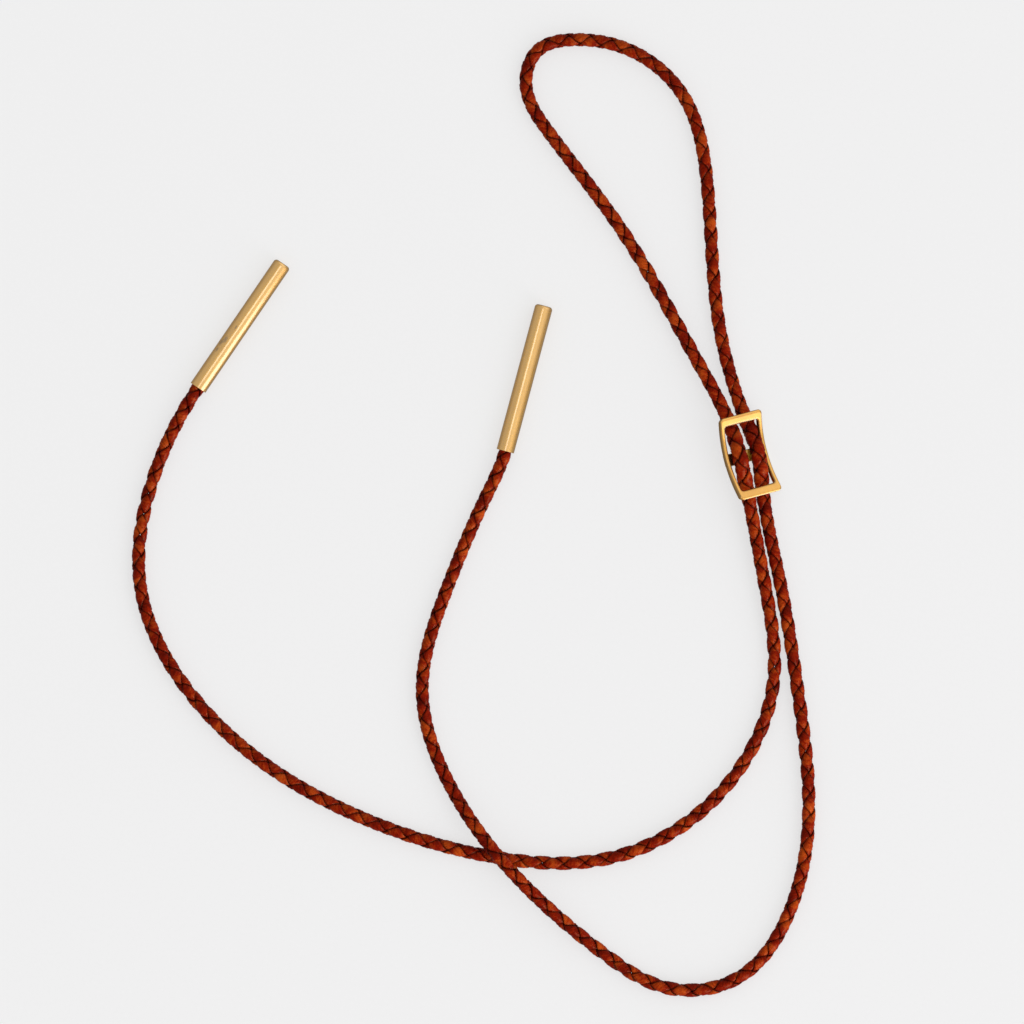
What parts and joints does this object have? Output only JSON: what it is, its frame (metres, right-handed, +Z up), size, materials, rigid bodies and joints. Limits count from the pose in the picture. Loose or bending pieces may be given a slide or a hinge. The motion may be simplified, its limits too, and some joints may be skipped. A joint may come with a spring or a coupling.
{
  "type": "bolo tie",
  "caption": "Round braided leather cord looped through a curved rectangular brass slide, with a brass tube tip on each end, lying loose",
  "frame": {"origin": "on the surface that the tie lies on, under the middle of the box round the slide and the two tips", "axes": "+Z up from the surface, +Y towards the neck loop, +X from the left tip towards the slide"},
  "size_m": [0.1951, 0.2754, 0.0107],
  "materials": {
    "leather": "semi-gloss, dyed cognac brown",
    "brass": "satin, softly brushed, a little tarnished"
  },
  "bodies": {
    "root": {"cord": "leather", "slide": "brass", "tip_left": "brass", "tip_right": "brass"}
  },
  "joints": []
}
